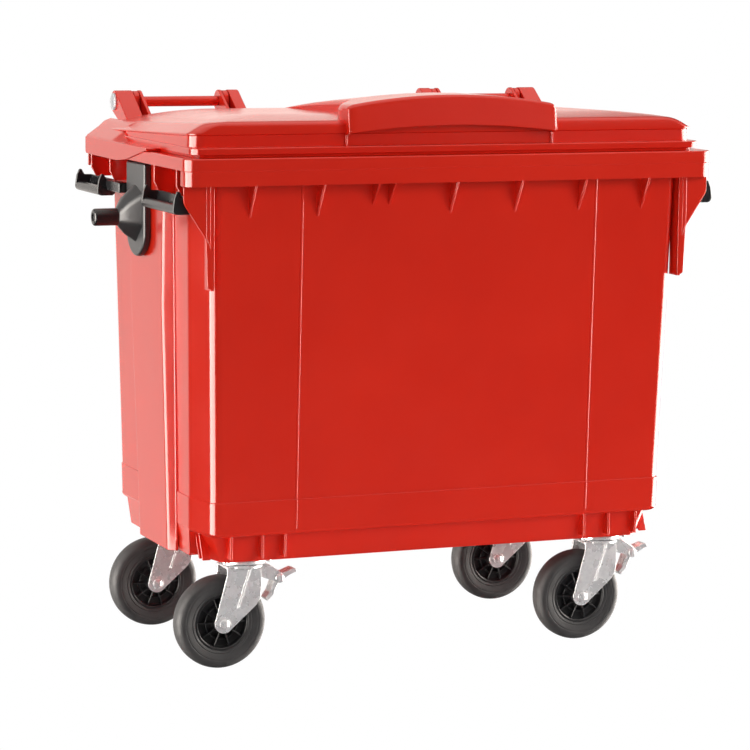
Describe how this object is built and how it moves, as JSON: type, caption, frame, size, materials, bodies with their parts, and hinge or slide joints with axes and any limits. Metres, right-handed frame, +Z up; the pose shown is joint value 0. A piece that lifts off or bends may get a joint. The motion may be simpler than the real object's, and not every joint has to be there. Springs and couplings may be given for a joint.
{
  "type": "wheelie bin",
  "caption": "Four-wheeled bin: drafted tub with a stepped rim, hinged crowned lid with a front hood, side grips, lifting pins and swivel casters, the front ones with brake pedals.",
  "frame": {"origin": "on the ground, under the middle of the overall box", "axes": "+X along the bin's length, to the right seen from the front; +Y towards the hinges at the back; +Z up"},
  "size_m": [1.36, 0.773, 1.2162],
  "materials": {
    "red_plastic": "semi-gloss moulded polyethylene",
    "black_plastic": "satin moulded",
    "hub_plastic": "satin moulded",
    "grey_cap": "semi-gloss moulded",
    "zinc": "bright zinc-plated pressed steel",
    "tyre_rubber": "matt solid rubber"
  },
  "bodies": {
    "tub_body": {"tub": "red_plastic", "hinge_pin_left": "zinc", "hinge_pin_right": "zinc", "hinge_cap_left": "grey_cap", "hinge_cap_right": "grey_cap", "rear_handle_left": "red_plastic", "rear_handle_right": "red_plastic", "trunnion_left": "black_plastic", "trunnion_right": "black_plastic", "side_grip_front_left": "black_plastic", "side_grip_front_right": "black_plastic", "side_grip_rear_left": "black_plastic", "side_grip_rear_right": "black_plastic", "drain_plug": "black_plastic", "stud_plate_front_left": "zinc", "stud_plate_front_right": "zinc", "stud_plate_rear_left": "zinc", "stud_plate_rear_right": "zinc", "caster_plate_front_left": "zinc", "caster_plate_front_right": "zinc", "caster_plate_rear_left": "zinc", "caster_plate_rear_right": "zinc", "swivel_race_front_left": "zinc", "swivel_race_front_right": "zinc", "swivel_race_rear_left": "zinc", "swivel_race_rear_right": "zinc", "kingpin_front_left": "zinc", "kingpin_front_right": "zinc", "kingpin_rear_left": "zinc", "kingpin_rear_right": "zinc"},
    "lid_body": {"lid": "red_plastic"},
    "fork_front_left_body": {"fork_front_left": "zinc", "axle_bolt_front_left": "zinc", "axle_nut_front_left": "zinc", "brake_pin_front_left": "zinc"},
    "fork_front_right_body": {"fork_front_right": "zinc", "axle_bolt_front_right": "zinc", "axle_nut_front_right": "zinc", "brake_pin_front_right": "zinc"},
    "fork_rear_left_body": {"fork_rear_left": "zinc", "axle_bolt_rear_left": "zinc", "axle_nut_rear_left": "zinc"},
    "fork_rear_right_body": {"fork_rear_right": "zinc", "axle_bolt_rear_right": "zinc", "axle_nut_rear_right": "zinc"},
    "wheel_front_left_body": {"wheel_hub_front_left": "hub_plastic", "tyre_front_left": "tyre_rubber"},
    "wheel_front_right_body": {"wheel_hub_front_right": "hub_plastic", "tyre_front_right": "tyre_rubber"},
    "wheel_rear_left_body": {"wheel_hub_rear_left": "hub_plastic", "tyre_rear_left": "tyre_rubber"},
    "wheel_rear_right_body": {"wheel_hub_rear_right": "hub_plastic", "tyre_rear_right": "tyre_rubber"},
    "brake_front_left_body": {"brake_pedal_front_left": "zinc"},
    "brake_front_right_body": {"brake_pedal_front_right": "zinc"}
  },
  "joints": [
    {"name": "lid_hinge", "type": "hinge", "parent": "tub_body", "child": "lid_body", "pos_m": [0, 0.361, 1.171], "axis": [-1, 0, 0], "range_deg": [0, 270]},
    {"name": "swivel_front_left", "type": "hinge", "parent": "tub_body", "child": "fork_front_left_body", "pos_m": [-0.42, -0.224, 0.218], "axis": [0, 0, 1], "continuous": true},
    {"name": "swivel_front_right", "type": "hinge", "parent": "tub_body", "child": "fork_front_right_body", "pos_m": [0.42, -0.224, 0.218], "axis": [0, 0, 1], "continuous": true},
    {"name": "swivel_rear_left", "type": "hinge", "parent": "tub_body", "child": "fork_rear_left_body", "pos_m": [-0.42, 0.224, 0.218], "axis": [0, 0, 1], "continuous": true},
    {"name": "swivel_rear_right", "type": "hinge", "parent": "tub_body", "child": "fork_rear_right_body", "pos_m": [0.42, 0.224, 0.218], "axis": [0, 0, 1], "continuous": true},
    {"name": "wheel_front_left", "type": "hinge", "parent": "fork_front_left_body", "child": "wheel_front_left_body", "pos_m": [-0.472, -0.224, 0.1], "axis": [0, 1, 0], "continuous": true},
    {"name": "wheel_front_right", "type": "hinge", "parent": "fork_front_right_body", "child": "wheel_front_right_body", "pos_m": [0.368, -0.224, 0.1], "axis": [0, 1, 0], "continuous": true},
    {"name": "wheel_rear_left", "type": "hinge", "parent": "fork_rear_left_body", "child": "wheel_rear_left_body", "pos_m": [-0.472, 0.224, 0.1], "axis": [0, 1, 0], "continuous": true},
    {"name": "wheel_rear_right", "type": "hinge", "parent": "fork_rear_right_body", "child": "wheel_rear_right_body", "pos_m": [0.368, 0.224, 0.1], "axis": [0, 1, 0], "continuous": true},
    {"name": "brake_front_left", "type": "hinge", "parent": "fork_front_left_body", "child": "brake_front_left_body", "pos_m": [-0.343, -0.224, 0.188], "axis": [0, 1, 0], "range_deg": [0, 15]},
    {"name": "brake_front_right", "type": "hinge", "parent": "fork_front_right_body", "child": "brake_front_right_body", "pos_m": [0.497, -0.224, 0.188], "axis": [0, 1, 0], "range_deg": [0, 15]}
  ]
}
